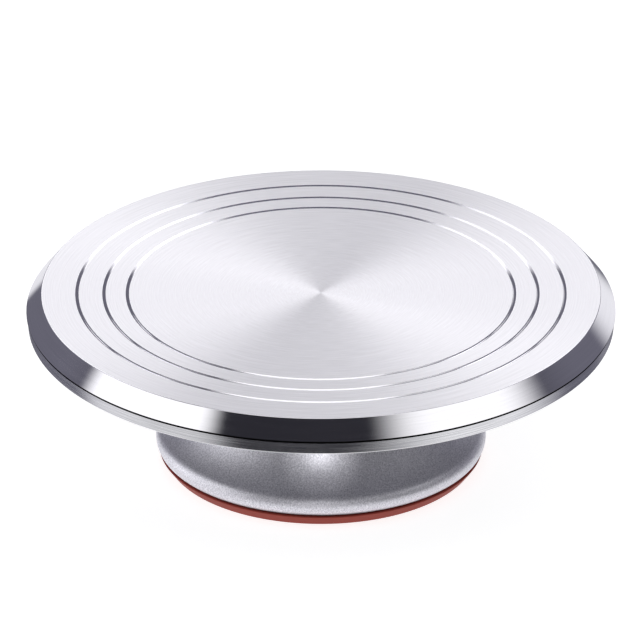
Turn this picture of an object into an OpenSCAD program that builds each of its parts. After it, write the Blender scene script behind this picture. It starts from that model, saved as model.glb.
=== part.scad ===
// Cake turntable: a turned aluminium plate on a flanged spindle, which runs in two ball bearings
// inside a cast bell-shaped base. The base stands on a silicone grip ring.
// Frame: +Z up, origin on the table under the centre of the plate, millimetres.

/* [Plate] */
// Diameter over the widest edge of the plate
plate_d = 305; // [290:1:340]
// Height of the plate's face above the table
stand_h = 94; // [90:0.5:110]
// Thickness of the plate's web
web_t = 4; // [3:0.1:6]
// Radial run of the polished chamfer
chamfer_run = 7.7; // [5:0.1:9]
// Drop of the polished chamfer
chamfer_drop = 9.6; // [8:0.1:11]
// Height of the rim's side below the chamfer
side_h = 7.6; // [6:0.1:9]
// How far the side lies inside the chamfer's edge
side_inset = 0.4; // [0.2:0.1:1]
// Draft of the rim's side, from its top to its foot
side_draft = 0.5; // [0.2:0.1:1]
// Broken edge at the foot of the side
side_break = 0.5; // [0.3:0.1:1]
// Wall thickness of the rim
rim_wall = 5; // [3.5:0.1:6.5]
// Height of the line turned in the side, under the chamfer
line_h = 0.9; // [0.5:0.1:1.5]
// Depth of the line below the side's face
line_depth = 0.6; // [0.3:0.1:1]
// Upright land between the chamfer's edge and the line
edge_land = 0.4; // [0.2:0.1:0.8]
// Diameter of the inner guide ring on the face
inner_guide_d = 200.4; // [180:0.1:206]
// Diameter of the middle guide ring on the face
middle_guide_d = 224.6; // [212:0.1:236]
// Diameter of the outer guide ring on the face
outer_guide_d = 252.6; // [242:0.1:260]
// Width of a guide ring's cut
guide_w = 1.8; // [1:0.1:2.5]
// Slope of the cut's inner wall, the steep one, in degrees
guide_in_slope = 36; // [30:1:45]
// Slope of the cut's outer wall, the shallow one, in degrees
guide_out_slope = 18; // [12:1:25]
// Diameter of the hub cast under the web
hub_d = 66; // [62:1:76]
// Height of the hub under the web
hub_h = 8; // [7:0.5:10]
// Draft of the hub's side, from its foot to the web
hub_draft = 2; // [1:0.5:4]
// Number of ribs cast under the web
rib_count = 8; // [4:4:12]
// Thickness of a rib
rib_t = 3; // [2:0.5:4]
// Height of a rib at the hub
rib_hub_h = 7; // [5:0.5:7]
// Height of a rib at the rim
rib_rim_h = 4; // [3:0.5:6]

/* [Spindle] */
// Diameter of the spindle's flange
flange_d = 56; // [54:1:60]
// Thickness of the flange
flange_t = 5; // [4:0.5:6]
// Diameter of the spigot that centres the flange in the hub
spigot_d = 18; // [14:1:24]
// Height of the spigot
spigot_h = 2; // [1:0.5:3]
// Diameter of the shoulder above the upper bearing
shoulder_d = 19.5; // [18:0.1:20.5]
// Length of the spindle below its retaining ring
tail_l = 2.5; // [1.5:0.5:3]

/* [Flange screws] */
// Number of screws in the flange
screw_count = 4; // [3:1:6]
// Diameter of the circle that the screws lie on
screw_circle_d = 40; // [37:0.5:42]
// Thread diameter of a screw
screw_d = 5; // [4:0.5:6]
// Head diameter of a screw
screw_head_d = 10; // [9:0.5:11]
// Length of a screw over its head
screw_l = 12; // [9:0.5:13]
// Width across the flats of a screw's hexagon socket
screw_socket = 3; // [2.5:0.5:3.5]

/* [Bearings] */
// Bore of a bearing
bearing_bore = 15; // [12:1:16]
// Outside diameter of a bearing
bearing_od = 35; // [34:1:38]
// Width of a bearing
bearing_w = 11; // [10:0.5:12]
// Clear height between the two bearings
bearing_span = 19; // [14:0.5:20]
// Diameter of a ball
ball_d = 5.95; // [5.5:0.05:6.3]
// Number of balls in a bearing
ball_count = 8; // [6:1:9]
// Radial gap between the shoulders of the two races
race_gap = 3.7; // [3.4:0.1:4]
// Wall thickness of a ball cage
cage_t = 2; // [1.6:0.1:2.2]
// Thickness of a shield
shield_t = 0.4; // [0.3:0.1:0.6]
// Thickness of the washer under the lower bearing
washer_t = 2; // [1:0.5:2.5]
// Outside diameter of that washer
washer_d = 20; // [19:0.5:20.5]
// Thickness of the spindle's retaining ring
clip_t = 1; // [0.8:0.1:1.2]
// Depth of the retaining ring's groove
clip_depth = 0.5; // [0.3:0.1:0.8]
// Radial width of the retaining ring
clip_w = 2.2; // [1.8:0.1:2.5]

/* [Base] */
// Diameter of the foot over its lip
foot_d = 171.2; // [165:0.1:180]
// Diameter of the neck at its upper edge
neck_d = 120; // [112:1:126]
// Draft of the neck, in degrees
neck_draft = 10; // [6:1:14]
// Radius of the hollow flare between neck and lip
flare_r = 40; // [32:1:56]
// Wall thickness of the base
base_wall = 4; // [3:0.5:5]
// Radius of the round lip
lip_r = 6.3; // [5.8:0.1:7]
// Height of the lip's widest line above its underside
lip_rise = 5.6; // [5:0.1:5.7]
// Thickness of the deck on top of the neck
deck_t = 6; // [5:0.5:8]
// Chamfer round the top of the neck
neck_chamfer = 1; // [0.5:0.5:2]
// Running gap between the deck and the spindle's flange
run_gap = 1.5; // [1:0.1:2]
// Depth of the upper bearing below the deck
bearing_sink = 1; // [0.5:0.5:2]
// Wall thickness of the bearing tube
tube_wall = 6.5; // [5:0.5:8]
// Length of the bearing tube below the lower bearing
tube_tail = 8.5; // [8:0.5:10]
// Width of the tube's inner seat, which the outer races rest on
seat_w = 2; // [1.5:0.1:2.4]
// Number of webs that brace the tube
brace_count = 6; // [2:2:6]
// Thickness of a brace
brace_t = 3.5; // [2.5:0.5:5]
// Height of the braces' lower edge above the tube's mouth
brace_rise = 6; // [3:0.5:10]
// Width of the tongue under the lip that holds the grip ring
tongue_w = 3; // [2.5:0.1:4]

/* [Grip ring] */
// Height of the lip's underside above the table
grip_h = 6.6; // [6:0.1:8]
// Shadow gap between the ring and the lip
grip_gap = 0.4; // [0.2:0.1:0.8]
// How far the ring's widest edge lies inside the lip's edge
grip_inset = 0.4; // [0.2:0.1:1]
// How far the ring's outer face runs in towards the table
grip_taper = 5.6; // [4.5:0.1:6]
// Rounding of the ring's outer edges
grip_round = 0.8; // [0.4:0.1:1.2]
// Thickness of silicone under the tongue
grip_floor = 2; // [1.5:0.1:3]
// Distance from the ring's foot in to the tongue
grip_wall = 1.5; // [1.2:0.1:2.5]
// Wall thickness of the ring inside the tongue
grip_inner_wall = 2.4; // [1.5:0.1:3]
// Height of that inner wall
grip_inner_h = 5.5; // [4:0.5:5.5]

/* [Dust cap] */
// Thickness of the dust cap's disc
cap_t = 1.5; // [1:0.1:2]
// How far the cap's disc stands out over the tube's bore
cap_overlap = 3; // [2:0.5:4]
// Depth of the cap's plug in the tube
cap_plug_h = 3; // [2:0.5:3.5]
// Wall thickness of the cap's plug
cap_wall = 1.6; // [1.2:0.1:2]

/* [Clearances] */
// Gap of a push fit, on the radius
fit = 0.03; // [0.02:0.01:0.06]
// Gap between a ball and its tracks
ball_play = 0.07; // [0.05:0.01:0.12]
// Gap between a ball and its cage pocket
pocket_play = 0.12; // [0.08:0.01:0.2]
// Gap between a shield and the inner race
shield_play = 0.3; // [0.2:0.05:0.5]
// Gap round a screw's thread and under its head's cone
screw_play = 0.06; // [0.04:0.01:0.1]

/* [Hidden] */
$fn = 96;
// Facets of the wide flare's arc
flare_fn = 240;
// Amount by which a cutting tool runs past the face that it cuts
over = 1;

// Heights, from the plate's face down through the spindle
plate_r = plate_d / 2;
face_r = plate_r - chamfer_run;
web_z = stand_h - web_t;
edge_z = stand_h - chamfer_drop;
rim_z = edge_z - side_h;
hub_z = web_z - hub_h;
flange_z = hub_z - flange_t;
deck_z = flange_z - run_gap;
upper_z = deck_z - bearing_sink - bearing_w;
lower_z = upper_z - bearing_span - bearing_w;
washer_z = lower_z - washer_t;
clip_z = washer_z - clip_t;
spindle_z = clip_z - tail_l;
tube_z = lower_z - tube_tail;

// Bearing radii
bore_r = bearing_bore / 2;
race_r = bearing_od / 2;
pitch_r = (bore_r + race_r) / 2;
track_r = ball_d / 2 + ball_play;
inner_shoulder_r = pitch_r - race_gap / 2;
outer_shoulder_r = pitch_r + race_gap / 2;
race_chamfer = 0.5;
shield_sink = 0.5;
shield_ledge = 0.9;
cage_skirt = 0.9;
cage_claw = 0.55;

// Spindle and its retaining ring
journal_r = bore_r - fit;
clip_in_r = journal_r - clip_depth + fit;
clip_gap_angle = 50;
clip_lug_angle = 12;
clip_lug_r = 1.9;
clip_eye_r = 0.8;
screw_cone_h = (screw_head_d - screw_d) / 2;
screw_hole_r = screw_d / 2 + screw_play;
screw_hole_spare = 0.5;
screw_socket_depth = 2;

// Base profile: the round lip, the neck's upper edge, and the flare's arc, which touches both
foot_r = foot_d / 2;
neck_r = neck_d / 2;
lip_c = [foot_r - lip_r, grip_h + lip_rise];
neck_top = [neck_r, deck_z - neck_chamfer];
neck_out = [cos(neck_draft), sin(neck_draft)];
neck_down = [sin(neck_draft), -cos(neck_draft)];
flare_start = neck_top + flare_r * neck_out - lip_c;
flare_lead = flare_start * neck_down;
flare_c = lip_c + flare_start
    - neck_down * (flare_lead + sqrt((lip_r + flare_r) ^ 2 - flare_start * flare_start + flare_lead ^ 2));
lip_out = (flare_c - lip_c) / (lip_r + flare_r);
seat_r = race_r + fit;
tube_r = seat_r + tube_wall;
grip_r = foot_r - grip_inset;
grip_foot_r = grip_r - grip_taper;
tongue_r = grip_foot_r - grip_wall;
tongue_in_r = tongue_r - tongue_w;
brace_start_angle = 30;

// A square-ended ring between two radii and two heights
module ring(r_in, r_out, z_low, z_high) {
    rotate_extrude() translate([r_in, z_low]) square([r_out - r_in, z_high - z_low]);
}

// Copies of the children, evenly spaced about the axis
module around(count, start = 0) {
    for (k = [0 : count - 1]) rotate(start + k * 360 / count) children();
}

// A flat web in the plane of the axis, drawn as radius and height
module radial_web(thickness) {
    rotate([90, 0, 0]) linear_extrude(thickness, center = true) children();
}

// Plate

// Radius of the rim's inner face at a height, where it runs parallel to the chamfer
function under_chamfer_r(z) =
    let (slope = norm([chamfer_run, chamfer_drop]))
    face_r - rim_wall * chamfer_drop / slope
    + (stand_h - rim_wall * chamfer_run / slope - z) * chamfer_run / chamfer_drop;

// Height at which that face meets the upright inner face of the side
function under_chamfer_z(r) =
    web_z - (r - under_chamfer_r(web_z)) * chamfer_drop / chamfer_run;

// Half of the plate's section, on the right of the axis
module plate_section() {
    line_top_z = edge_z - edge_land;
    side_top_z = line_top_z - line_h;
    side_r = plate_r - side_inset;
    line_r = side_r - line_depth;
    rim_out_r = side_r - side_draft;
    rim_in_r = rim_out_r - rim_wall;
    difference() {
        polygon([
            [0, stand_h], [face_r, stand_h], [plate_r, edge_z], [plate_r, line_top_z],
            [line_r, line_top_z], [line_r, side_top_z], [side_r, side_top_z],
            [rim_out_r, rim_z + side_break], [rim_out_r - side_break, rim_z],
            [rim_in_r, rim_z], [rim_in_r, under_chamfer_z(rim_in_r)],
            [under_chamfer_r(web_z), web_z], [hub_d / 2 + hub_draft, web_z], [hub_d / 2, hub_z], [0, hub_z]
        ]);
        for (d = [inner_guide_d, middle_guide_d, outer_guide_d]) translate([d / 2, stand_h]) guide_cut();
    }
}

// Cut of a guide ring with its tip down, steep towards the axis and shallow towards the rim
module guide_cut() {
    depth = guide_w / (1 / tan(guide_in_slope) + 1 / tan(guide_out_slope));
    polygon([
        [-guide_w / 2, 0], [guide_w / 2 - depth / tan(guide_out_slope), -depth], [guide_w / 2, 0],
        [guide_w / 2, over], [-guide_w / 2, over]
    ]);
}

// Rib under the web, which tapers from the hub to the rim
module plate_rib() {
    rib_in_r = hub_d / 2 - over;
    rib_out_r = under_chamfer_r(web_z - rib_rim_h) + over;
    radial_web(rib_t) polygon([
        [rib_in_r, web_z + over], [rib_out_r, web_z + over],
        [rib_out_r, web_z - rib_rim_h], [rib_in_r, web_z - rib_hub_h]
    ]);
}

module top_plate() {
    tapped_l = screw_l - flange_t + screw_hole_spare;
    color("gainsboro") difference() {
        union() {
            rotate_extrude() plate_section();
            around(rib_count, 180 / rib_count) plate_rib();
        }
        translate([0, 0, hub_z - over]) cylinder(r = spigot_d / 2 + fit, h = spigot_h + fit + over);
        around(screw_count) translate([screw_circle_d / 2, 0, hub_z - over])
            cylinder(r = screw_hole_r, h = tapped_l + over);
    }
}

// Spindle

module spindle() {
    end_chamfer = 1;
    color("silver") difference() {
        rotate_extrude() polygon([
            [0, hub_z + spigot_h], [spigot_d / 2, hub_z + spigot_h], [spigot_d / 2, hub_z],
            [flange_d / 2, hub_z], [flange_d / 2, flange_z], [shoulder_d / 2, flange_z],
            [shoulder_d / 2, upper_z + bearing_w], [journal_r, upper_z + bearing_w],
            [journal_r, washer_z], [journal_r - clip_depth, washer_z],
            [journal_r - clip_depth, clip_z - fit], [journal_r, clip_z - fit],
            [journal_r, spindle_z + end_chamfer], [journal_r - end_chamfer, spindle_z], [0, spindle_z]
        ]);
        around(screw_count) translate([screw_circle_d / 2, 0, flange_z]) screw_seat();
    }
}

// Clearance hole and countersink for a flange screw, opening downwards
module screw_seat() {
    translate([0, 0, -over]) cylinder(r = screw_hole_r, h = flange_t + 2 * over);
    translate([0, 0, -over]) cylinder(r1 = screw_head_d / 2 + screw_play + over, r2 = screw_hole_r,
        h = screw_head_d / 2 + screw_play + over - screw_hole_r);
}

// Countersunk screw, head down, with its head flush in the flange
module flange_screw() {
    difference() {
        union() {
            cylinder(r1 = screw_head_d / 2, r2 = screw_d / 2, h = screw_cone_h);
            cylinder(r = screw_d / 2, h = screw_l);
        }
        translate([0, 0, -over]) cylinder(r = screw_socket / sqrt(3), h = screw_socket_depth + over, $fn = 6);
    }
}

module flange_screws() {
    color("dimgray") around(screw_count) translate([screw_circle_d / 2, 0, flange_z]) flange_screw();
}

module spacer_sleeve() {
    color("silver") ring(bore_r, shoulder_d / 2, lower_z + bearing_w, upper_z);
}

module thrust_washer() {
    color("silver") ring(bore_r, washer_d / 2, washer_z, lower_z);
}

// Open retaining ring with an eye at each end for pliers
module retaining_ring() {
    clip_out_r = clip_in_r + clip_w;
    lug_at = clip_in_r + clip_lug_r;
    lug_angle = clip_gap_angle / 2 + clip_lug_angle;
    color("dimgray") translate([0, 0, clip_z]) linear_extrude(clip_t) difference() {
        union() {
            circle(r = clip_out_r);
            for (side = [-1, 1]) rotate(side * lug_angle) translate([lug_at, 0]) circle(r = clip_lug_r);
        }
        circle(r = clip_in_r);
        polygon([
            [0, 0], 2 * clip_out_r * [cos(clip_gap_angle / 2), -sin(clip_gap_angle / 2)],
            2 * clip_out_r * [cos(clip_gap_angle / 2), sin(clip_gap_angle / 2)]
        ]);
        for (side = [-1, 1]) rotate(side * lug_angle) translate([lug_at, 0]) circle(r = clip_eye_r);
    }
}

// Bearings, each placed by the height of its lower face

// Section of a race from its plain face to its shoulder, with the ball track cut in
module race_section(r_in, r_out) {
    difference() {
        translate([r_in, 0]) square([r_out - r_in, bearing_w]);
        translate([pitch_r, bearing_w / 2]) circle(r = track_r);
    }
}

// Corner chamfers on a race's plain face, at one radius
module race_corners(r) {
    for (z = [0, bearing_w]) translate([r, z]) rotate(45) square(race_chamfer * sqrt(2), center = true);
}

module inner_race(z) {
    color("lightsteelblue") translate([0, 0, z]) rotate_extrude() difference() {
        race_section(bore_r, inner_shoulder_r);
        race_corners(bore_r);
    }
}

module outer_race(z) {
    ledge_r = outer_shoulder_r + shield_ledge;
    color("lightsteelblue") translate([0, 0, z]) rotate_extrude() difference() {
        race_section(outer_shoulder_r, race_r);
        race_corners(race_r);
        for (end = [-over, bearing_w - shield_sink - shield_t])
            translate([outer_shoulder_r - over, end]) square([ledge_r - outer_shoulder_r + over,
                shield_sink + shield_t + over]);
    }
}

// Shield of a bearing, seated on a ledge of its outer race at one end
module shield(z, at_top) {
    low = z + (at_top ? bearing_w - shield_sink - shield_t : shield_sink);
    shield_r = outer_shoulder_r + shield_ledge - fit;
    color("slategray") ring(inner_shoulder_r + shield_play, shield_r, low, low + shield_t);
}

module balls(z) {
    color("white") around(ball_count) translate([pitch_r, 0, z + bearing_w / 2]) sphere(d = ball_d);
}

// Crown cage: a ring under the balls, with claws that reach past their middle
module ball_cage(z) {
    pocket_r = ball_d / 2 + pocket_play;
    mid_z = z + bearing_w / 2;
    color("peru") difference() {
        ring(pitch_r - cage_t / 2, pitch_r + cage_t / 2,
            mid_z - pocket_r - cage_skirt, mid_z + cage_claw * pocket_r);
        around(ball_count) translate([pitch_r, 0, mid_z]) sphere(r = pocket_r);
    }
}

module upper_inner_race() inner_race(upper_z);
module lower_inner_race() inner_race(lower_z);
module upper_outer_race() outer_race(upper_z);
module lower_outer_race() outer_race(lower_z);
module upper_top_shield() shield(upper_z, true);
module upper_bottom_shield() shield(upper_z, false);
module lower_top_shield() shield(lower_z, true);
module lower_bottom_shield() shield(lower_z, false);
module upper_balls() balls(upper_z);
module lower_balls() balls(lower_z);
module upper_ball_cage() ball_cage(upper_z);
module lower_ball_cage() ball_cage(lower_z);

// Base

// Neck and flare as a filled half section, inset from the outside
module bell(inset = 0) {
    flare_end = flare_c - (flare_r + inset) * lip_out;
    difference() {
        polygon([
            [0, 0], [flare_end[0], 0], flare_end, flare_c - (flare_r + inset) * neck_out,
            neck_top - inset * neck_out, [neck_r - neck_chamfer - inset, deck_z], [0, deck_z]
        ]);
        translate(flare_c) circle(r = flare_r + inset, $fn = flare_fn);
    }
}

// Outside of the base: neck, hollow flare and round lip, as a filled half section
module base_outline() {
    intersection() {
        union() {
            bell();
            translate(lip_c) circle(r = lip_r);
        }
        translate([0, grip_h]) square([foot_r + over, deck_z - grip_h]);
    }
}

// Hollow under the deck, which follows the bell at the wall's thickness
module base_hollow() {
    intersection() {
        bell(base_wall);
        square([tongue_in_r, deck_z - deck_t]);
    }
}

// Tube that holds the bearings, with a seat between them
module bearing_tube() {
    difference() {
        translate([0, tube_z]) square([tube_r, deck_z - tube_z]);
        translate([0, upper_z]) square([seat_r, deck_z - upper_z + over]);
        translate([0, tube_z - over]) square([seat_r, lower_z + bearing_w - tube_z + over]);
        translate([0, tube_z]) square([race_r - seat_w, deck_z - tube_z]);
    }
}

// Web between the tube and the flare, under the deck
module brace() {
    radial_web(brace_t) intersection() {
        bell(base_wall / 2);
        translate([tube_r - tube_wall / 2, tube_z + brace_rise])
            square([foot_r - tube_r, deck_z - deck_t / 2 - tube_z - brace_rise]);
    }
}

module base_casting() {
    color("darkgray") {
        rotate_extrude() {
            difference() {
                base_outline();
                base_hollow();
                square([tube_r - tube_wall / 2, deck_z + over]);
            }
            bearing_tube();
            translate([tongue_in_r, grip_floor]) square([tongue_w, grip_h - grip_floor + over]);
        }
        around(brace_count, brace_start_angle) brace();
    }
}

module dust_cap() {
    plug_r = seat_r - fit;
    color("black") rotate_extrude() polygon([
        [0, tube_z - cap_t], [seat_r + cap_overlap, tube_z - cap_t], [seat_r + cap_overlap, tube_z],
        [plug_r, tube_z], [plug_r, tube_z + cap_plug_h], [plug_r - cap_wall, tube_z + cap_plug_h],
        [plug_r - cap_wall, tube_z], [0, tube_z]
    ]);
}

// Section of the grip ring's outer face: a slope from the lip in to the table, with round edges
module grip_face() {
    ring_h = grip_h - grip_gap;
    lean = atan2(grip_taper, ring_h);
    top_round = [grip_r - grip_round * (1 + sin(lean)) / cos(lean), ring_h - grip_round];
    foot_round = [grip_foot_r - grip_round * (1 - sin(lean)) / cos(lean), grip_round];
    out = grip_round * [cos(lean), -sin(lean)];
    translate(top_round) circle(r = grip_round);
    translate(foot_round) circle(r = grip_round);
    polygon([
        [tongue_in_r - fit, 0], [foot_round[0], 0], foot_round + out, top_round + out,
        [top_round[0], ring_h], [tongue_in_r - fit, ring_h]
    ]);
}

// Silicone channel that the tongue of the base sits in
module grip_ring() {
    inner_r = tongue_in_r - fit - grip_inner_wall;
    color("brown") rotate_extrude() {
        difference() {
            grip_face();
            translate([tongue_in_r - fit, grip_floor]) square([tongue_w + 2 * fit, grip_h]);
        }
        translate([inner_r, 0]) square([grip_inner_wall, grip_inner_h]);
    }
}

top_plate();
spindle();
flange_screws();
upper_inner_race();
spacer_sleeve();
lower_inner_race();
thrust_washer();
retaining_ring();
upper_ball_cage();
upper_balls();
lower_ball_cage();
lower_balls();
upper_outer_race();
upper_top_shield();
upper_bottom_shield();
lower_outer_race();
lower_top_shield();
lower_bottom_shield();
base_casting();
dust_cap();
grip_ring();
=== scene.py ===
import math

import bpy
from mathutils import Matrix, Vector


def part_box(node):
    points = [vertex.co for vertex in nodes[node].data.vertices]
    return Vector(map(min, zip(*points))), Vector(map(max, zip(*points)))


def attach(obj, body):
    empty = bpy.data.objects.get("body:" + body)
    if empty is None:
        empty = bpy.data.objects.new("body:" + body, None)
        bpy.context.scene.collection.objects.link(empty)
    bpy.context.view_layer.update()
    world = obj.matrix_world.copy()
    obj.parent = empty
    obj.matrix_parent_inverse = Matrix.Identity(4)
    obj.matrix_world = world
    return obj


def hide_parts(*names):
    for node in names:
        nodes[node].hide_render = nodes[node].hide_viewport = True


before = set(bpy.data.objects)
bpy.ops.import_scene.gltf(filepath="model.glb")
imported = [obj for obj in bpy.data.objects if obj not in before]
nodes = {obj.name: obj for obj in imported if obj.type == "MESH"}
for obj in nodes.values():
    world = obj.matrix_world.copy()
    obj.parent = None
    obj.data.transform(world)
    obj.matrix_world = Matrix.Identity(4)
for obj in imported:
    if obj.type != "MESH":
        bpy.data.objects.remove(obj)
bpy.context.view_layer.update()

# Base casting
# One bell of cast aluminium: a deck on top, a hollow flare, a rounded lip and, inside, the bearing tube
# with six braces. It is sprayed with silver lacquer over a fine sand texture.
mm = 0.001
base_low, base_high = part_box("base_casting")
foot_r = base_high.x
deck_z = base_high.z
tongue_z = base_low.z
neck_r = 60 * mm
neck_break = 1 * mm
neck_draft = 10
flare_r = 40 * mm
wall = 4 * mm
deck_t = 6 * mm
lip_r = 6.3 * mm
lip_mid_z = 12.2 * mm
lip_foot_z = 6.6 * mm
tongue_r = 78.1 * mm
tongue_in_r = 75.1 * mm
tube_r = 24.03 * mm
tube_z = 25 * mm
bearing_r = 17.53 * mm
bearing_stop_r = 15.5 * mm
lower_bearing_top_z = 44.5 * mm
upper_bearing_z = 63.5 * mm
edge_break = 0.4 * mm
brace_count = 6
brace_start = 30
brace_t = 3.5 * mm
brace_z = 31 * mm
web_round = 0.8 * mm
flare_steps = 28
lip_steps = 16
turn_steps = 192
weld_gap = mm / 500
ring_slack = mm / 100


def drawn(name, line, y=0.0):
    """A new object, left in edit mode, made by extruding one vertex along a line of (radius, height)."""
    bpy.ops.object.select_all(action="DESELECT")
    bpy.ops.mesh.primitive_plane_add(size=mm)
    piece = bpy.context.object
    piece.name = name
    bpy.context.tool_settings.mesh_select_mode = (True, False, False)
    bpy.ops.object.mode_set(mode="EDIT")
    bpy.ops.mesh.merge(type="CENTER")
    here = Vector((0, 0, 0))
    for count, (r, z) in enumerate(line):
        there = Vector((r, y, z))
        if count:
            bpy.ops.mesh.extrude_region_move(TRANSFORM_OT_translate={"value": there - here})
        else:
            bpy.ops.transform.translate(value=there)
        here = there
    bpy.ops.mesh.select_all(action="SELECT")
    return piece


def turned(name, section, steps):
    """A piece turned about the axis from its half section, which is closed or ends on the axis."""
    piece = drawn(name, section)
    bpy.ops.mesh.spin(steps=steps, angle=2 * math.pi, center=(0, 0, 0), axis=(0, 0, 1))
    bpy.ops.mesh.select_all(action="SELECT")
    bpy.ops.mesh.remove_doubles(threshold=weld_gap)
    bpy.ops.mesh.normals_make_consistent(inside=False)
    bpy.ops.object.mode_set(mode="OBJECT")
    return piece


def web(name, outline, thickness):
    """A flat web in the plane of the axis, drawn as (radius, height)."""
    piece = drawn(name, outline + outline[:1], -thickness / 2)
    bpy.ops.mesh.remove_doubles(threshold=weld_gap)
    bpy.ops.mesh.edge_face_add()
    bpy.ops.mesh.extrude_region_move(TRANSFORM_OT_translate={"value": (0, thickness, 0)})
    bpy.ops.mesh.select_all(action="SELECT")
    bpy.ops.mesh.normals_make_consistent(inside=False)
    bpy.ops.object.mode_set(mode="OBJECT")
    return piece


def bevel_where(piece, test, size, steps):
    """Rounds the edges whose two ends pass the test."""
    mesh = piece.data
    for kind in (mesh.vertices, mesh.edges, mesh.polygons):
        kind.foreach_set("select", [False] * len(kind))
    for edge in mesh.edges:
        edge.select = test(*(mesh.vertices[i].co for i in edge.vertices))
    bpy.context.view_layer.objects.active = piece
    bpy.context.tool_settings.mesh_select_mode = (False, True, False)
    bpy.ops.object.mode_set(mode="EDIT")
    bpy.ops.mesh.bevel(offset=size, segments=steps, profile=0.5, affect="EDGES")
    bpy.ops.object.mode_set(mode="OBJECT")


def round_rings(piece, places, size, steps=3):
    """Rounds the edge rings of a turned piece that lie at these (radius, height) places."""
    def on_ring(a, b):
        if abs(a.z - b.z) > ring_slack:
            return False
        ends = [math.hypot(p.x, p.y) for p in (a, b)]
        for r, z in places:
            if abs(a.z - z) < ring_slack and all(abs(end - r) < ring_slack for end in ends):
                return True
        return False
    bevel_where(piece, on_ring, size, steps)


def round_the_axis(piece, count, start):
    """Joins evenly spaced copies of a piece into one object. The start angle is in degrees."""
    copies = [piece]
    for _ in range(count - 1):
        copy = piece.copy()
        copy.data = piece.data.copy()
        bpy.context.scene.collection.objects.link(copy)
        copies.append(copy)
    bpy.ops.object.select_all(action="DESELECT")
    for number, copy in enumerate(copies):
        copy.rotation_euler.z = math.radians(start + 360 * number / count)
        copy.select_set(True)
    bpy.context.view_layer.objects.active = piece
    bpy.ops.object.transform_apply(location=False, rotation=True, scale=False)
    bpy.ops.object.join()
    return piece


def combine(piece, tool, operation):
    """Joins a tool to a piece, or cuts it out, and removes the tool."""
    change = piece.modifiers.new("combine", "BOOLEAN")
    change.operation = operation
    change.solver = "EXACT"
    change.object = tool
    bpy.context.view_layer.objects.active = piece
    bpy.ops.object.modifier_apply(modifier=change.name)
    bpy.data.objects.remove(tool)


def smooth(piece, angle=32):
    """Smooth shading up to an angle in degrees, with normals that keep the large faces true."""
    bpy.ops.object.select_all(action="DESELECT")
    piece.select_set(True)
    bpy.context.view_layer.objects.active = piece
    bpy.ops.object.shade_smooth_by_angle(angle=math.radians(angle))
    even = piece.modifiers.new("even normals", "WEIGHTED_NORMAL")
    even.keep_sharp = True
    bpy.ops.object.modifier_apply(modifier=even.name)


def paint(piece, material, test=None):
    """Gives a material to the faces whose centre and normal pass the test, or to all of them."""
    piece.data.materials.append(material)
    place = len(piece.data.materials) - 1
    for face in piece.data.polygons:
        if test is None or test(face.center, face.normal):
            face.material_index = place


def arc(centre, radius, first, last, steps):
    """Points on a circle in the section, from one angle to another in degrees."""
    turns = [math.radians(first + (last - first) * k / steps) for k in range(steps + 1)]
    return [(centre[0] + radius * math.cos(a), centre[1] + radius * math.sin(a)) for a in turns]


# The flare's circle touches the neck's line and, from outside, the round of the lip.
lip_c = Vector((foot_r - lip_r, lip_mid_z))
neck_top = Vector((neck_r, deck_z - neck_break))
neck_out = Vector((math.cos(math.radians(neck_draft)), math.sin(math.radians(neck_draft))))
neck_down = Vector((neck_out.y, -neck_out.x))
from_lip = neck_top + flare_r * neck_out - lip_c
lead = from_lip.dot(neck_down)
reach_down = lead + math.sqrt((lip_r + flare_r) ** 2 - from_lip.length_squared + lead ** 2)
flare_c = lip_c + from_lip - neck_down * reach_down
flare_end = math.degrees(math.atan2(flare_c.y - lip_c.y, flare_c.x - lip_c.x))
lip_end = -math.degrees(math.asin((lip_mid_z - lip_foot_z) / lip_r))
outside = arc(flare_c, flare_r, 180 + neck_draft, 180 + flare_end, flare_steps)
lip = arc(lip_c, lip_r, flare_end, lip_end, lip_steps)
hollow_end = math.degrees(math.acos((flare_c.x - tongue_in_r) / (flare_r + wall)))
inside = arc(flare_c, flare_r + wall, 180 + hollow_end, 180 + neck_draft, flare_steps)
hollow_z = deck_z - deck_t
hollow_r = inside[-1][0] - (hollow_z - inside[-1][1]) * math.tan(math.radians(neck_draft))
base_section = [
    (bearing_r, deck_z), (neck_r - neck_break, deck_z), tuple(neck_top), *outside, *lip[1:],
    (tongue_r, lip_foot_z), (tongue_r, tongue_z), (tongue_in_r, tongue_z),
    *inside, (hollow_r, hollow_z), (tube_r, hollow_z), (tube_r, tube_z), (bearing_r, tube_z),
    (bearing_r, lower_bearing_top_z), (bearing_stop_r, lower_bearing_top_z),
    (bearing_stop_r, upper_bearing_z), (bearing_r, upper_bearing_z), (bearing_r, deck_z),
]
base = turned("cast_base", base_section, turn_steps)
round_rings(base, [(tongue_r, tongue_z), (tongue_in_r, tongue_z)], edge_break, steps=2)
round_rings(base, [tuple(neck_top), (neck_r - neck_break, deck_z)], edge_break, steps=2)
round_rings(base, [(tube_r, tube_z), (bearing_r, tube_z), (bearing_r, deck_z)], edge_break, steps=2)
brace_in_r = (tube_r + bearing_r) / 2
brace_top_z = deck_z - deck_t / 2
brace_end = math.degrees(math.asin((flare_c.y - brace_z) / (flare_r + wall / 2)))
brace_arc = arc(flare_c, flare_r + wall / 2, 180 + brace_end, 180 + neck_draft, flare_steps // 2)
brace_top_r = brace_arc[-1][0] - (brace_top_z - brace_arc[-1][1]) * math.tan(math.radians(neck_draft))
braces = web("brace", [
    (brace_in_r, brace_z), *brace_arc, (brace_top_r, brace_top_z), (brace_in_r, brace_top_z),
], brace_t)
bevel_where(braces, lambda a, b: max(a.z, b.z) < brace_z + edge_break, web_round, steps=3)
round_the_axis(braces, brace_count, brace_start)
combine(base, braces, "UNION")
smooth(base)


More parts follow.
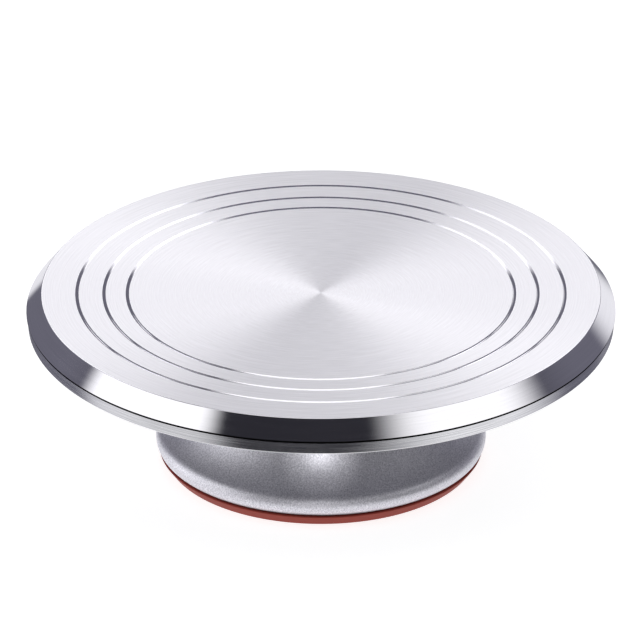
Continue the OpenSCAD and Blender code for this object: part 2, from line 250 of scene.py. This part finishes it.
def linear(code):
    """A colour of an sRGB hex code, as the linear values that shaders take."""
    parts = [int(code[i:i + 2], 16) / 255 for i in (1, 3, 5)]
    return tuple(c / 12.92 if c <= 0.04045 else ((c + 0.055) / 1.055) ** 2.4 for c in parts) + (1,)


def add(tree, kind, settings, inputs):
    """Adds a node with its settings. An input that is another node's socket is linked, any other is set."""
    made = tree.nodes.new("ShaderNode" + kind)
    for name, value in settings.items():
        setattr(made, name, value)
    for name, value in inputs.items():
        if isinstance(value, bpy.types.NodeSocket):
            tree.links.new(value, made.inputs[name])
        else:
            made.inputs[name].default_value = value
    return made


def blank(name):
    """A new material without nodes, and its node tree."""
    material = bpy.data.materials.new(name)
    material.use_nodes = True
    material.node_tree.nodes.clear()
    return material, material.node_tree


# Sand-textured silver lacquer on cast aluminium: flakes that lie flat give a sheen, tilted ones a wide pale
# glow. Grit of about 0.5 mm, drawn at 0.7 mm so that it shows, breaks both up.
grit = 0.7 * mm
grit_depth = 0.05 * mm
spray_cloud = 14 * mm
tilted_flakes = 0.42
flat_gloss = (0.38, 0.46)
tilted_gloss = 0.66
# Noise keeps to the middle of its range, so this stretch of it is drawn out to the whole.
noise_low = 0.3
noise_high = 0.7
# A Mix node's sockets for colours share their names with others, so they go by number.
mix_share = 0
mix_dark = 6
mix_light = 7
mix_colour = 2
cast_lacquer, tree = blank("Silver lacquer on sand-cast aluminium")
place = add(tree, "TexCoord", {}, {}).outputs["Object"]
grain = add(tree, "TexNoise", {}, {"Vector": place, "Scale": 1 / grit, "Detail": 2.0, "Roughness": 0.6})
cloud = add(tree, "TexNoise", {}, {"Vector": place, "Scale": 1 / spray_cloud, "Detail": 2.0})
speck = add(tree, "MapRange", {}, {
    "Value": grain.outputs["Fac"], "From Min": noise_low, "From Max": noise_high})
tone = add(tree, "Mix", {"data_type": "RGBA"}, {
    mix_share: speck.outputs["Result"], mix_dark: linear("#C2C1CA"), mix_light: linear("#F8F7FD")})
gloss = add(tree, "MapRange", {}, {
    "Value": cloud.outputs["Fac"], "To Min": flat_gloss[0], "To Max": flat_gloss[1]})
bump = add(tree, "Bump", {}, {"Strength": 1.0, "Distance": grit_depth, "Height": grain.outputs["Fac"]})
flat = add(tree, "BsdfPrincipled", {}, {
    "Base Color": tone.outputs[mix_colour], "Metallic": 1.0, "Roughness": gloss.outputs["Result"],
    "Normal": bump.outputs["Normal"]})
tilted = add(tree, "BsdfPrincipled", {}, {
    "Base Color": tone.outputs[mix_colour], "Metallic": 0.9, "Roughness": tilted_gloss,
    "Normal": bump.outputs["Normal"]})
lacquer = add(tree, "MixShader", {}, {0: tilted_flakes, 1: flat.outputs["BSDF"], 2: tilted.outputs["BSDF"]})
add(tree, "OutputMaterial", {}, {"Surface": lacquer.outputs["Shader"]})
paint(base, cast_lacquer)
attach(base, "base")
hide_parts("base_casting")

# Ball bearings
# Two deep-groove bearings of ground steel with polished balls, a moulded cage each and pressed shields.
# Their outer races sit in the base's tube, their inner races on the spindle.


def plain_metal(name, dark, light, grain_size, roughness, spread):
    """A bare metal, mottled between two tones, with a roughness that varies by the spread."""
    material, tree = blank(name)
    place = add(tree, "TexCoord", {}, {}).outputs["Object"]
    mottle = add(tree, "TexNoise", {}, {"Vector": place, "Scale": 1 / grain_size, "Detail": 3.0})
    tone = add(tree, "Mix", {"data_type": "RGBA"}, {
        mix_share: mottle.outputs["Fac"], mix_dark: linear(dark), mix_light: linear(light)})
    gloss = add(tree, "MapRange", {}, {
        "Value": mottle.outputs["Fac"], "To Min": roughness - spread, "To Max": roughness + spread})
    shader = add(tree, "BsdfPrincipled", {}, {
        "Base Color": tone.outputs[mix_colour], "Metallic": 1.0, "Roughness": gloss.outputs["Result"]})
    add(tree, "OutputMaterial", {}, {"Surface": shader.outputs["BSDF"]})
    return material


def moulded(name, dark, light, grain_size, roughness, depth, shine=0.5):
    """A moulded plastic or rubber with a fine eroded grain."""
    material, tree = blank(name)
    place = add(tree, "TexCoord", {}, {}).outputs["Object"]
    grain = add(tree, "TexNoise", {}, {"Vector": place, "Scale": 1 / grain_size, "Detail": 4.0})
    tone = add(tree, "Mix", {"data_type": "RGBA"}, {
        mix_share: grain.outputs["Fac"], mix_dark: linear(dark), mix_light: linear(light)})
    bump = add(tree, "Bump", {}, {"Strength": 0.4, "Distance": depth, "Height": grain.outputs["Fac"]})
    shader = add(tree, "BsdfPrincipled", {}, {
        "Base Color": tone.outputs[mix_colour], "Roughness": roughness, "Specular IOR Level": shine,
        "Normal": bump.outputs["Normal"]})
    add(tree, "OutputMaterial", {}, {"Surface": shader.outputs["BSDF"]})
    return material


def dress(material, *names):
    """Puts a material on these nodes of the frame."""
    for name in names:
        for place in nodes[name].material_slots:
            place.material = material


# Ground steel is bright with a faint blur, and the balls are polished to mirrors.
ground_steel = plain_metal("Ground bearing steel", "#B4B4B6", "#C9C9CB",
                           grain_size=0.7 * mm, roughness=0.18, spread=0.04)
polished_steel = plain_metal("Polished ball steel", "#C6C6C8", "#CECED0",
                             grain_size=2 * mm, roughness=0.06, spread=0.02)
# Sheet steel is greyer and duller from the press. Nylon is cream-coloured with a satin skin.
pressed_steel = plain_metal("Pressed sheet steel", "#9C9C9E", "#ABABAD",
                            grain_size=1.2 * mm, roughness=0.3, spread=0.06)
nylon = moulded("Moulded nylon", "#B99F69", "#C7AE7A",
                grain_size=0.4 * mm, roughness=0.45, depth=0.02 * mm)
dress(ground_steel, "upper_inner_race", "upper_outer_race", "lower_inner_race", "lower_outer_race")
dress(polished_steel, "upper_balls", "lower_balls")
dress(pressed_steel, "upper_top_shield", "upper_bottom_shield", "lower_top_shield", "lower_bottom_shield")
dress(nylon, "upper_ball_cage", "lower_ball_cage")

# Spindle and what is fixed on it
# A turned steel shaft with a flange, a sleeve between the inner races, a washer and a spring-steel ring.
# Four blackened countersunk screws hold the flange to the plate.

# Turned steel is mid-grey with a soft shine.
turned_steel = plain_metal("Turned steel", "#9B9B9D", "#A9A9AB",
                           grain_size=0.5 * mm, roughness=0.28, spread=0.05)
# Blackened and phosphated steel are dark and dull, and the ring's coat is the duller one.
blackened_steel = plain_metal("Blackened screw steel", "#3C3C3E", "#4B4B4E",
                              grain_size=0.6 * mm, roughness=0.42, spread=0.08)
phosphated_steel = plain_metal("Phosphated spring steel", "#252527", "#303032",
                               grain_size=0.5 * mm, roughness=0.5, spread=0.06)
dress(turned_steel, "spindle", "spacer_sleeve", "thrust_washer")
dress(blackened_steel, "flange_screws")
dress(phosphated_steel, "retaining_ring")

# Dust cap
# A cap moulded in black polypropylene, with a plug that is pushed into the mouth of the bearing tube and a
# rounded rim to lever it out by.
cap_low, cap_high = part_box("dust_cap")
cap_r = cap_high.x
cap_plug_r = 17.5 * mm
cap_plug_in_r = 15.9 * mm
cap_dish_r = 13 * mm
cap_dish = 0.5 * mm
cap_rim_round = 0.6 * mm
cap_edge_round = 0.25 * mm
cap = turned("moulded_cap", [
    (0, cap_low.z + cap_dish), (cap_dish_r, cap_low.z + cap_dish), (cap_dish_r + cap_dish, cap_low.z),
    (cap_r, cap_low.z), (cap_r, tube_z), (cap_plug_r, tube_z), (cap_plug_r, cap_high.z),
    (cap_plug_in_r, cap_high.z), (cap_plug_in_r, tube_z), (0, tube_z),
], turn_steps // 2)
round_rings(cap, [(cap_r, cap_low.z)], cap_rim_round, steps=4)
round_rings(cap, [(cap_r, tube_z), (cap_plug_r, cap_high.z)], cap_edge_round, steps=2)
smooth(cap)
# Black polypropylene has a satin skin with the mould's fine eroded grain.
black_plastic = moulded("Moulded black polypropylene", "#141416", "#1D1D20",
                        grain_size=0.35 * mm, roughness=0.42, depth=0.03 * mm)
paint(cap, black_plastic)
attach(cap, "base")
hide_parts("dust_cap")

# Grip ring
# A red-brown silicone channel, moulded in one piece, that is pulled over the tongue under the base's lip.
# Its outer face runs in towards the table.
grip_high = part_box("grip_ring")[1]
grip_r = grip_high.x
grip_top_z = grip_high.z
grip_foot_r = 79.6 * mm
grip_in_r = 72.67 * mm
grip_in_z = 5.5 * mm
grip_floor_z = 2 * mm
grip_fit = 0.03 * mm
grip_round = 0.8 * mm
grip = turned("silicone_ring", [
    (grip_r, grip_top_z), (grip_foot_r, 0), (grip_in_r, 0), (grip_in_r, grip_in_z),
    (tongue_in_r - grip_fit, grip_in_z), (tongue_in_r - grip_fit, grip_floor_z),
    (tongue_r + grip_fit, grip_floor_z), (tongue_r + grip_fit, grip_top_z), (grip_r, grip_top_z),
], turn_steps)
round_rings(grip, [(grip_r, grip_top_z), (grip_foot_r, 0)], grip_round, steps=4)
round_rings(grip, [(grip_in_r, 0), (grip_in_r, grip_in_z)], edge_break, steps=3)
smooth(grip)
# Silicone is matt, with an even colour and hardly any shine.
silicone = moulded("Moulded silicone rubber", "#86342A", "#964035",
                   grain_size=0.3 * mm, roughness=0.55, depth=0.02 * mm, shine=0.15)
paint(grip, silicone)
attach(grip, "base")
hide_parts("grip_ring")

# Plate
# One aluminium casting, turned on its face and edge: three V-cut guide rings, a polished bevel, a fine line
# and a brushed side. Its underside keeps the casting's hub and eight ribs.
plate_low, plate_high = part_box("top_plate")
plate_r = plate_high.x
face_z = plate_high.z
rim_z = plate_low.z
face_r = 144.8 * mm
bevel_z = 84.4 * mm
land_z = 84.0 * mm
side_top_z = 83.1 * mm
line_r = 151.5 * mm
side_r = 152.1 * mm
side_foot_r = 151.6 * mm
side_break = 0.5 * mm
rim_in_r = 146.6 * mm
web_z = 90 * mm
web_r = 141.6 * mm
hub_r = 33 * mm
hub_z = 82 * mm
hub_draft = 2 * mm
spigot_r = 9.03 * mm
spigot_z = 84.03 * mm
guide_rs = (100.2 * mm, 112.3 * mm, 126.3 * mm)
guide_half = 0.9 * mm
guide_in_slope = 36
guide_out_slope = 18
guide_edge_round = 0.06 * mm
face_edge_round = 0.3 * mm
under_round = 1.5 * mm
overlap = 1 * mm
rib_count = 8
rib_start = 180 / rib_count
rib_t = 3 * mm
rib_hub_z = 83 * mm
rib_rim_z = 86 * mm
rib_out_r = 145.8 * mm
screw_count = 4
screw_circle_r = 20 * mm
screw_hole_r = 2.56 * mm
screw_hole_z = 89.5 * mm
screw_hole_steps = 24
plate_steps = 288

under_z = web_z - (rim_in_r - web_r) * (face_z - bevel_z) / (plate_r - face_r)
steep = math.tan(math.radians(guide_in_slope))
shallow = math.tan(math.radians(guide_out_slope))
guide_depth = 2 * guide_half * steep * shallow / (steep + shallow)
guide_tip = guide_half - guide_depth / steep
guides = []
for r in guide_rs:
    guides += [(r - guide_half, face_z), (r - guide_tip, face_z - guide_depth), (r + guide_half, face_z)]
plate = turned("turned_plate", [
    (0, face_z), *guides, (face_r, face_z), (plate_r, bevel_z), (plate_r, land_z), (line_r, land_z),
    (line_r, side_top_z), (side_r, side_top_z), (side_foot_r, rim_z + side_break),
    (side_foot_r - side_break, rim_z), (rim_in_r, rim_z), (rim_in_r, under_z), (web_r, web_z),
    (hub_r + hub_draft, web_z), (hub_r, hub_z), (spigot_r, hub_z), (spigot_r, spigot_z), (0, spigot_z),
], plate_steps)
round_rings(plate, [(face_r, face_z)], face_edge_round, steps=3)
guide_edges = [(r + side, face_z) for r in guide_rs for side in (-guide_half, guide_half)]
round_rings(plate, guide_edges, guide_edge_round, steps=2)
round_rings(plate, [(web_r, web_z), (hub_r + hub_draft, web_z)], under_round, steps=4)
round_rings(plate, [(rim_in_r, rim_z), (hub_r, hub_z)], edge_break, steps=2)
rib_in_r = hub_r - overlap
rib_top_z = web_z + overlap
ribs = web("rib", [
    (rib_in_r, rib_top_z), (rib_out_r, rib_top_z), (rib_out_r, rib_rim_z), (rib_in_r, rib_hub_z),
], rib_t)
bevel_where(ribs, lambda a, b: max(a.z, b.z) < rib_rim_z + edge_break, web_round, steps=3)
round_the_axis(ribs, rib_count, rib_start)
combine(plate, ribs, "UNION")
screw_mouth_z = hub_z - overlap
screw_hole = turned("screw_hole", [
    (0, screw_mouth_z), (screw_hole_r, screw_mouth_z), (screw_hole_r, screw_hole_z), (0, screw_hole_z),
], screw_hole_steps)
screw_hole.location.x = screw_circle_r
bpy.ops.object.transform_apply(location=True, rotation=False, scale=False)
round_the_axis(screw_hole, screw_count, start=0)
combine(plate, screw_hole, "DIFFERENCE")
smooth(plate)


def ring_marks(tree, pitch, arcs, height_too):
    """Noise drawn out round the axis: marks of a tool, one pitch apart, that fade along their arcs."""
    place = add(tree, "TexCoord", {}, {}).outputs["Object"]
    flat = add(tree, "VectorMath", {"operation": "MULTIPLY"}, {0: place, 1: (1, 1, 0)})
    round_it = add(tree, "VectorMath", {"operation": "NORMALIZE"}, {0: flat.outputs["Vector"]})
    along = add(tree, "VectorMath", {"operation": "SCALE"}, {0: round_it.outputs["Vector"], "Scale": arcs})
    if height_too:
        across = add(tree, "SeparateXYZ", {}, {0: place}).outputs["Z"]
    else:
        away = add(tree, "VectorMath", {"operation": "LENGTH"}, {0: flat.outputs["Vector"]})
        across = away.outputs["Value"]
    lane = add(tree, "Math", {"operation": "DIVIDE"}, {0: across, 1: pitch})
    lift = add(tree, "CombineXYZ", {}, {"Z": lane.outputs["Value"]})
    spot = add(tree, "VectorMath", {"operation": "ADD"}, {
        0: along.outputs["Vector"], 1: lift.outputs["Vector"]})
    marks = add(tree, "TexNoise", {}, {"Vector": spot.outputs["Vector"], "Scale": 1.0, "Detail": 3.0})
    whole = add(tree, "MapRange", {}, {
        "Value": marks.outputs["Fac"], "From Min": noise_low, "From Max": noise_high})
    return whole.outputs["Result"]


def machined(name, dark, light, pitch, arcs, rough, anisotropy, depth, height_too=False):
    """Bare aluminium with tool marks round the axis, which draw highlights out across them."""
    material, tree = blank(name)
    marks = ring_marks(tree, pitch, arcs, height_too)
    tone = add(tree, "Mix", {"data_type": "RGBA"}, {
        mix_share: marks, mix_dark: linear(dark), mix_light: linear(light)})
    gloss = add(tree, "MapRange", {}, {"Value": marks, "To Min": rough[0], "To Max": rough[1]})
    bump = add(tree, "Bump", {}, {"Strength": 0.3, "Distance": depth, "Height": marks})
    lay = add(tree, "Tangent", {"direction_type": "RADIAL", "axis": "Z"}, {})
    shader = add(tree, "BsdfPrincipled", {}, {
        "Base Color": tone.outputs[mix_colour], "Metallic": 1.0, "Roughness": gloss.outputs["Result"],
        "Anisotropic": anisotropy, "Anisotropic Rotation": 0.25, "Tangent": lay.outputs["Tangent"],
        "Normal": bump.outputs["Normal"]})
    add(tree, "OutputMaterial", {}, {"Surface": shader.outputs["BSDF"]})
    return material


# Fine facing cuts draw a fan of light over the face. The feed of 0.1 mm is too fine to show, so the marks are
# 0.6 mm apart.
facing = machined("Turned aluminium face", "#E3E2E5", "#F5F4F7", pitch=0.6 * mm, arcs=5.0,
                  rough=(0.32, 0.38), anisotropy=0.85, depth=0.003 * mm)
# Polished aluminium is nearly a mirror, with faint buffing lines, drawn 0.5 mm apart.
polish = machined("Polished aluminium bevel", "#EDECF0", "#F3F2F6", pitch=0.5 * mm, arcs=4.0,
                  rough=(0.06, 0.09), anisotropy=0.3, depth=0.001 * mm)
# The side is brushed round with fine paper, which leaves a silky grey. The lines that show are 0.4 mm apart.
brushed = machined("Brushed aluminium side", "#CFCFD4", "#F6F6F9", pitch=0.4 * mm, arcs=5.0,
                   rough=(0.18, 0.26), anisotropy=0.7, depth=0.003 * mm, height_too=True)
# Painted shade: the groove under the bevel, its land and its ledge are near-black, so they read as a crisp
# dark line.
shadow_line = moulded("Painted shade in the turned line", "#030304", "#060607",
                      grain_size=0.5 * mm, roughness=0.8, depth=0.005 * mm, shine=0.05)
# The underside keeps the dull grey skin of the casting.
cast_skin = plain_metal("Bare cast aluminium", "#6E6E74", "#85858B",
                        grain_size=0.8 * mm, roughness=0.5, spread=0.06)
straight_up = 0.999
leaning_up = 0.05
upright = 0.2
skim = 0.05 * mm
line_skim = 0.01 * mm


def outside_of(point, r):
    """Whether a point lies further from the axis than this radius."""
    return math.hypot(point.x, point.y) > r


paint(plate, cast_skin)
paint(plate, facing, lambda c, n: n.z > straight_up and c.z > face_z - skim)
paint(plate, polish, lambda c, n: leaning_up < n.z < straight_up and c.z > land_z)
paint(plate, brushed, lambda c, n: abs(n.z) < upright and outside_of(c, side_foot_r - mm) and c.z < land_z)
paint(plate, polish, lambda c, n: c.z < rim_z + side_break and outside_of(c, side_foot_r - side_break))
# Painted shade: near-black on the land, the groove and the ledge under the bevel.
paint(plate, shadow_line, lambda c, n: side_top_z - line_skim < c.z < bevel_z - skim)
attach(plate, "plate")
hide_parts("top_plate")

# Floor
# A matt white table board under a soft light, which keeps the shadow. It glows, so that it stays white, and
# lies a hair below the ring's foot. Reflections show the board as far as its edge, and beyond it the studio.
floor_size = 40
floor_gap = 0.05 * mm
floor_glow = 0.84
board_r = 130 * mm
board_edge_r = 190 * mm
bpy.ops.object.select_all(action="DESELECT")
bpy.ops.mesh.primitive_plane_add(size=floor_size, location=(0, 0, -floor_gap))
floor = bpy.context.object
floor.name = "floor"
matt_white, tree = blank("Matt white table")
ray = add(tree, "LightPath", {}, {})
side = add(tree, "NewGeometry", {}, {})
place = add(tree, "TexCoord", {}, {}).outputs["Object"]
away = add(tree, "VectorMath", {"operation": "LENGTH"}, {0: place}).outputs["Value"]
beyond = add(tree, "MapRange", {"interpolation_type": "SMOOTHSTEP"}, {
    "Value": away, "From Min": board_r, "From Max": board_edge_r}).outputs[0]
past = add(tree, "Math", {"operation": "MULTIPLY"}, {0: beyond, 1: ray.outputs["Is Glossy Ray"]})
open_to = add(tree, "Math", {"operation": "MAXIMUM"}, {0: past.outputs[0], 1: side.outputs["Backfacing"]})
card = add(tree, "BsdfDiffuse", {}, {"Color": linear("#C0C0C0")})
glow = add(tree, "Emission", {}, {"Strength": floor_glow})
both = add(tree, "AddShader", {}, {0: card.outputs["BSDF"], 1: glow.outputs["Emission"]})
clear = add(tree, "BsdfTransparent", {}, {})
board = add(tree, "MixShader", {}, {
    0: open_to.outputs[0], 1: both.outputs["Shader"], 2: clear.outputs["BSDF"]})
add(tree, "OutputMaterial", {}, {"Surface": board.outputs["Shader"]})
paint(floor, matt_white)

# Studio
# Soft white panels round a dim room, which is lighter at the back. Each panel has its bearing from the
# camera's side, its elevation, the half angle of its even middle, the width of its soft edge, all in degrees,
# and its brightness. The camera itself sees plain white.
room_front = 0.032
room_back = 0.18
front_end = -0.3
back_end = 0.5
white = (1, 1, 1, 1)
room_tint = linear("#E8E6FF")[:3]
panels = {
    "left": (-80, 37, 18, 10, 1.2),
    "far left": (-106, 0, 9, 12, 1.8),
    "left fill": (-72, 6, 12, 14, 0.8),
    "right": (70, 46, 10, 22, 1.15),
    "low left": (-76, -33, 20, 14, 0.72),
    "low right": (69, -44, 8, 34, 0.92),
    "back": (181, 25, 6, 6, 1.65),
    "back left": (-150, 40, 10, 6, 1.12),
    "back right": (160, 42, 6, 8, 1.66),
    "low back": (-173, -13, 9, 7, 0.7),
    "low back right": (151, -6, 1, 24, 0.75),
    "overhead": (-41, 85, 16, 10, 1.2),
    "front": (0, 19, 16, 12, 0.9),
    "ground": (180, -78, 26, 12, 1.0),
}
studio = bpy.data.worlds.new("Studio")
bpy.context.scene.world = studio
studio.use_nodes = True
tree = studio.node_tree
tree.nodes.clear()
heading = add(tree, "TexCoord", {}, {}).outputs["Generated"]
depth = add(tree, "SeparateXYZ", {}, {0: heading}).outputs["Y"]
dim = add(tree, "MapRange", {"interpolation_type": "SMOOTHSTEP"}, {
    "Value": depth, "From Min": front_end, "From Max": back_end,
    "To Min": room_front, "To Max": room_back}).outputs[0]
glow = add(tree, "VectorMath", {"operation": "SCALE"}, {0: room_tint, "Scale": dim}).outputs["Vector"]
for bearing, elevation, even, soft, level in panels.values():
    a, e = math.radians(bearing), math.radians(elevation)
    towards = (math.sin(a) * math.cos(e), -math.cos(a) * math.cos(e), math.sin(e))
    near = add(tree, "VectorMath", {"operation": "DOT_PRODUCT"}, {0: heading, 1: towards}).outputs["Value"]
    panel = add(tree, "MapRange", {"interpolation_type": "SMOOTHSTEP"}, {
        "Value": near, "To Min": 0.0, "To Max": level,
        "From Min": math.cos(math.radians(even + soft)), "From Max": math.cos(math.radians(even))})
    glow = add(tree, "VectorMath", {"operation": "ADD"}, {0: glow, 1: panel.outputs[0]}).outputs["Vector"]
ray = add(tree, "LightPath", {}, {})
shown = add(tree, "Mix", {"data_type": "RGBA"}, {
    mix_share: ray.outputs["Is Camera Ray"], mix_dark: glow, mix_light: white})
backdrop = add(tree, "Background", {}, {"Color": shown.outputs[mix_colour]})
add(tree, "OutputWorld", {}, {"Surface": backdrop.outputs["Background"]})

# Front lamp
# A small lamp that stands low in front, under the level of the plate's face, and shines in under the plate.
# It is flagged to a narrow cone that ends above the lip, and adds a sheen on the flare but no light on the
# table.
lamp_y = -200 * mm
lamp_z = 91 * mm
lamp_dip = math.radians(24.6)
lamp_cone = math.radians(16)
lamp_blend = 0.2
lamp_bulb_r = 4 * mm
lamp_power = 0.13
bpy.ops.object.light_add(type="SPOT", location=(0, lamp_y, lamp_z), rotation=(math.pi / 2 - lamp_dip, 0, 0))
lamp = bpy.context.object
lamp.name = "front_lamp"
lamp.data.spot_size = lamp_cone
lamp.data.spot_blend = lamp_blend
lamp.data.shadow_soft_size = lamp_bulb_r
lamp.data.energy = lamp_power
lamp.visible_camera = False
lamp.visible_diffuse = False

# Camera
# A long lens from the front, 26.4 degrees above the table, framed as in the photograph. The aim is the point
# in the middle of the frame.
frame_w = 331.3 * mm
lens = 1200
sensor = 36
view_elevation = math.radians(26.4)
aim_x = -0.5 * mm
aim_z = 78.25 * mm
aim = Vector((aim_x, 0, aim_z))
camera_data = bpy.data.cameras.new("camera")
camera_data.lens = lens
camera_data.sensor_width = sensor
camera = bpy.data.objects.new("camera", camera_data)
bpy.context.scene.collection.objects.link(camera)
reach = frame_w * lens / sensor
camera.location = aim + reach * Vector((0, -math.cos(view_elevation), math.sin(view_elevation)))
camera.rotation_euler = (math.pi / 2 - view_elevation, 0, 0)
camera_data.clip_end = 3 * reach
bpy.context.scene.camera = camera
bpy.context.scene.view_settings.view_transform = "Standard"

bpy.context.view_layer.update()
